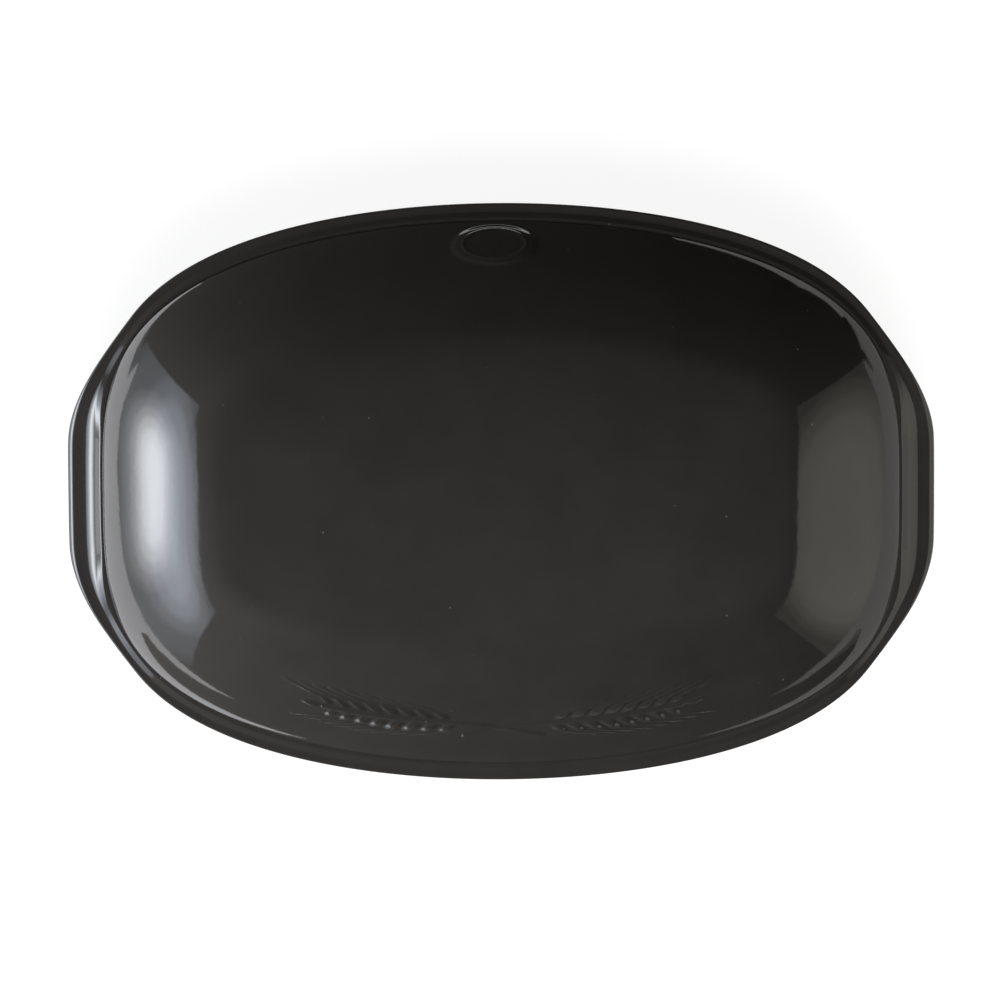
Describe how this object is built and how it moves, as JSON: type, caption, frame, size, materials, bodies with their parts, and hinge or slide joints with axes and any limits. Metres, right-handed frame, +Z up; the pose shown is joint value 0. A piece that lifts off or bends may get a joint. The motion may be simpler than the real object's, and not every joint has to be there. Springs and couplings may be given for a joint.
{
  "type": "ceramic bread baker",
  "caption": "Oval lidded ceramic bread baker: a glazed dish with an ear at each end, and a high domed lid that seats on a ledge inside the rim and lifts off.",
  "frame": {"origin": "middle of the closed baker's bounding box, on the plane of its foot", "axes": "+X from ear to ear, to the right seen from the front; +Y from the front long side to the back; +Z up"},
  "size_m": [0.34, 0.226, 0.12],
  "materials": {
    "charcoal_glaze": "gloss charcoal glaze"
  },
  "bodies": {
    "dish": {"base_dish": "charcoal_glaze"},
    "lid": {"lid_dome": "charcoal_glaze"}
  },
  "joints": [
    {"name": "lid_lift", "type": "slide", "parent": "dish", "child": "lid", "axis": [0, 0, 1], "range_m": [0, 0.16]}
  ]
}
